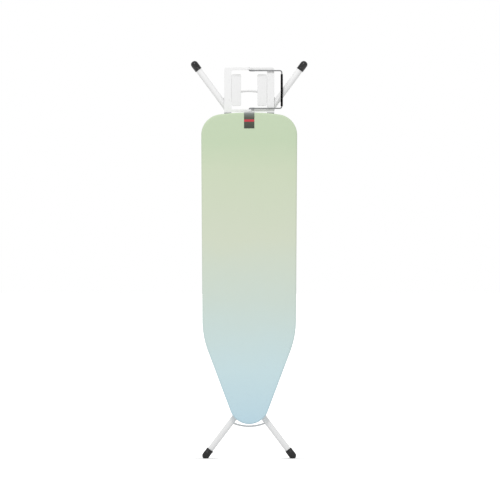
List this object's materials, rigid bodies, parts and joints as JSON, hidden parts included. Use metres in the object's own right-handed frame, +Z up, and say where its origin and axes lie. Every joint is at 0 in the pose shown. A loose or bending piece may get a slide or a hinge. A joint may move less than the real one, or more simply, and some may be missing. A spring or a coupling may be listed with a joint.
{
  "type": "folding ironing board",
  "caption": "Folding ironing board shown folded: padded cotton-covered board with tapered nose, iron rest with swinging wire stop, and scissor legs on splayed feet.",
  "frame": {"origin": "on the floor below the middle of the folded board", "axes": "+Z up along the board from nose to wide end, +X right as seen from the ironing face, ironing face to -Y, legs behind at +Y"},
  "size_m": [0.4658, 0.0626, 1.5846],
  "materials": {
    "cover_cloth": "plain woven cotton, green to blue colour run",
    "label_cloth": "woven label cloth",
    "underlay_foam": "foam and felt underlay",
    "panel_steel": "powder coated perforated sheet",
    "white_steel": "white powder coat",
    "zinc_steel": "bright zinc plate",
    "black_plastic": "moulded, fine texture",
    "rest_pad": "heat-proof moulded pad",
    "stop_wire": "dark grey coated wire",
    "black_silicone": "silicone sleeve",
    "black_rubber": "ribbed rubber cap"
  },
  "bodies": {
    "board": {"cotton_cover": "cover_cloth", "sewn_label": "label_cloth", "foam_underlay": "underlay_foam", "perforated_panel": "panel_steel", "rim_frame": "white_steel", "cross_member_nose": "white_steel", "cross_member_middle": "white_steel", "cross_member_rear": "white_steel", "cross_member_end": "white_steel", "height_rail_left": "zinc_steel", "height_rail_right": "zinc_steel", "rail_rivets": "zinc_steel", "leg_hinge_bracket_left": "zinc_steel", "leg_hinge_bracket_right": "zinc_steel", "bracket_rivets": "zinc_steel", "leg_hinge_pins": "zinc_steel", "leg_saddle_left": "black_plastic", "leg_saddle_right": "black_plastic", "saddle_screws": "zinc_steel", "iron_rest_frame": "white_steel", "iron_rest_pad_left": "rest_pad", "iron_rest_pad_right": "rest_pad", "pad_rivets": "zinc_steel", "rail_buffers": "black_rubber", "iron_rest_screws": "zinc_steel", "iron_stop_lugs": "rest_pad"},
    "height_latch": {"latch_plate": "zinc_steel", "lever_rod": "zinc_steel", "lever_grip": "black_plastic", "lever_rod_clip": "zinc_steel"},
    "iron_stop": {"iron_stop_wire": "stop_wire", "iron_stop_sleeve": "black_silicone", "iron_stop_bushes": "black_silicone"},
    "outer_legs": {"outer_leg_tube_left": "white_steel", "outer_leg_tube_right": "white_steel", "outer_leg_arch_bar": "white_steel", "outer_foot_cap_left": "black_rubber", "outer_foot_cap_right": "black_rubber", "outer_tube_plugs": "black_plastic", "scissor_bolts": "zinc_steel", "scissor_nuts": "zinc_steel", "scissor_spacers": "black_plastic"},
    "inner_legs": {"inner_leg_tube_left": "white_steel", "inner_leg_tube_right": "white_steel", "inner_leg_arch_bar": "white_steel", "inner_foot_cap_left": "black_rubber", "inner_foot_cap_right": "black_rubber", "inner_tube_plugs": "black_plastic", "slider_bar": "zinc_steel", "slider_bushes": "black_plastic"}
  },
  "joints": [
    {"name": "outer_leg_fold", "type": "hinge", "parent": "board", "child": "outer_legs", "pos_m": [0, 0.0158, 0.404], "axis": [-1, 0, 0], "range_deg": [0, 51]},
    {"name": "inner_leg_scissor", "type": "hinge", "parent": "outer_legs", "child": "inner_legs", "pos_m": [0, 0.0158, 0.792], "axis": [1, 0, 0], "range_deg": [0, 102]},
    {"name": "height_latch_drop", "type": "hinge", "parent": "board", "child": "height_latch", "pos_m": [0, -0.0019, 1.235], "axis": [1, 0, 0], "range_deg": [0, 2.5]},
    {"name": "iron_stop_swing", "type": "hinge", "parent": "board", "child": "iron_stop", "pos_m": [0, -0.0122, 1.47], "axis": [0, 0, -1], "range_deg": [0, 180]}
  ],
  "couplings": [
    {"joint": "inner_leg_scissor", "follows": "outer_leg_fold", "ratio": 2}
  ]
}
